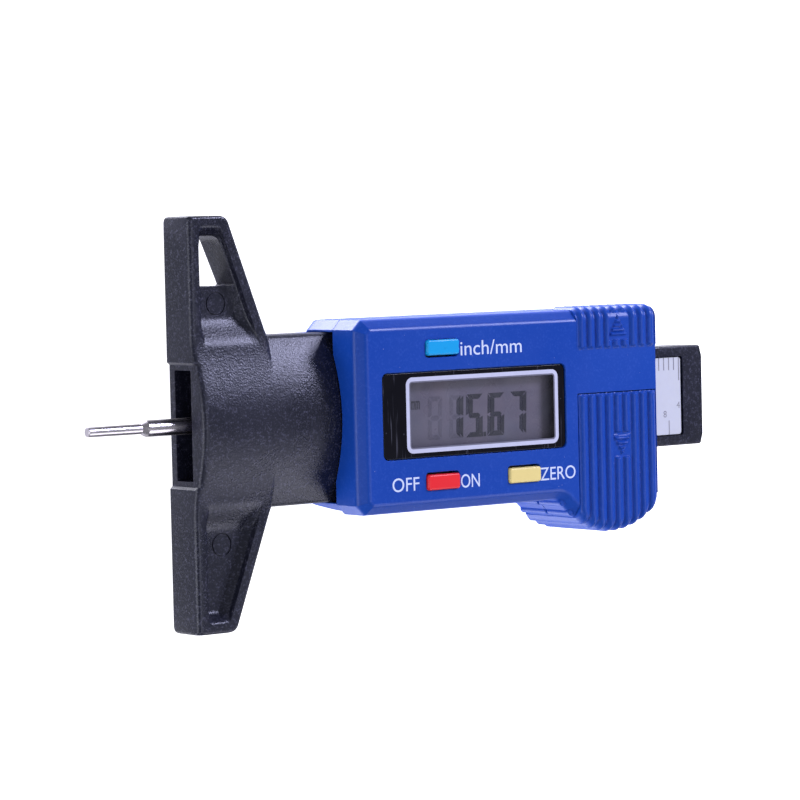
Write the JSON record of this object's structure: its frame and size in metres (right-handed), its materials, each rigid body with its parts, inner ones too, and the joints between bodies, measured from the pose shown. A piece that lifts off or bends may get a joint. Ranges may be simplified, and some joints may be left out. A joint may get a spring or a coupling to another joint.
{
  "type": "tire tread depth gauge",
  "caption": "Digital tire tread depth gauge: a winged foot with hollow neck and beam carries a sliding shell with display, keys, ribbed battery cover and a stepped probe rod.",
  "frame": {"origin": "middle of the bounding box in X and Y, on the surface the gauge lies on, at the back of the rear housing", "axes": "+X from the probe tip towards the beam end, +Y across the foot towards the wing with the hanging hole, +Z out of the display"},
  "size_m": [0.1087, 0.0578, 0.0144],
  "materials": {
    "black_nylon": "moulded black nylon with a fine matte grain",
    "blue_shell": "satin blue ABS with a fine grain",
    "polished_steel": "polished stainless steel",
    "zinc_screw": "zinc plated",
    "spring_bronze": "bare spring bronze",
    "clamp_brass": "turned brass",
    "nickel_can": "nickel plated can",
    "board_green": "solder mask on glass fibre board",
    "label_white": "printed white film",
    "lens_black": "clear acrylic printed black around a clear window",
    "display_glass": "grey reflective liquid crystal display",
    "zebra_rubber": "layered conductive rubber",
    "chip_epoxy": "black potting epoxy",
    "red_key": "moulded red plastic",
    "yellow_key": "moulded yellow plastic",
    "cyan_key": "moulded light blue plastic"
  },
  "bodies": {
    "base": {"base_frame": "black_nylon", "stator_strip": "board_green", "scale_label": "label_white"},
    "slider": {"front_housing": "blue_shell", "rear_housing": "blue_shell", "display_lens": "lens_black", "display_panel": "display_glass", "upper_zebra_strip": "zebra_rubber", "lower_zebra_strip": "zebra_rubber", "circuit_board": "board_green", "chip_cover": "chip_epoxy", "probe_rod": "polished_steel", "rod_clamp": "clamp_brass", "clamp_screw": "zinc_screw", "gib_spring": "spring_bronze", "button_cell": "nickel_can", "minus_contact": "spring_bronze", "plus_contact": "spring_bronze", "housing_screw_1": "zinc_screw", "housing_screw_2": "zinc_screw", "housing_screw_3": "zinc_screw", "off_on_dome_switch": "polished_steel", "zero_dome_switch": "polished_steel", "unit_dome_switch": "polished_steel"},
    "cover": {"battery_cover": "blue_shell"},
    "off_on_key": {"off_on_button": "red_key"},
    "zero_key": {"zero_button": "yellow_key"},
    "unit_key": {"unit_button": "cyan_key"}
  },
  "joints": [
    {"name": "depth_slide", "type": "slide", "parent": "base", "child": "slider", "axis": [-1, 0, 0], "range_m": [-0.01567, 0.00973]},
    {"name": "cover_slide", "type": "slide", "parent": "slider", "child": "cover", "axis": [0, -1, 0], "range_m": [0, 0.017]},
    {"name": "off_on_press", "type": "slide", "parent": "slider", "child": "off_on_key", "axis": [0, 0, -1], "range_m": [0, 0.0004], "stiffness_N_per_m": 600, "springref_m": -0.0004},
    {"name": "zero_press", "type": "slide", "parent": "slider", "child": "zero_key", "axis": [0, 0, -1], "range_m": [0, 0.0004], "stiffness_N_per_m": 600, "springref_m": -0.0004},
    {"name": "unit_press", "type": "slide", "parent": "slider", "child": "unit_key", "axis": [0, 0, -1], "range_m": [0, 0.0004], "stiffness_N_per_m": 600, "springref_m": -0.0004}
  ]
}
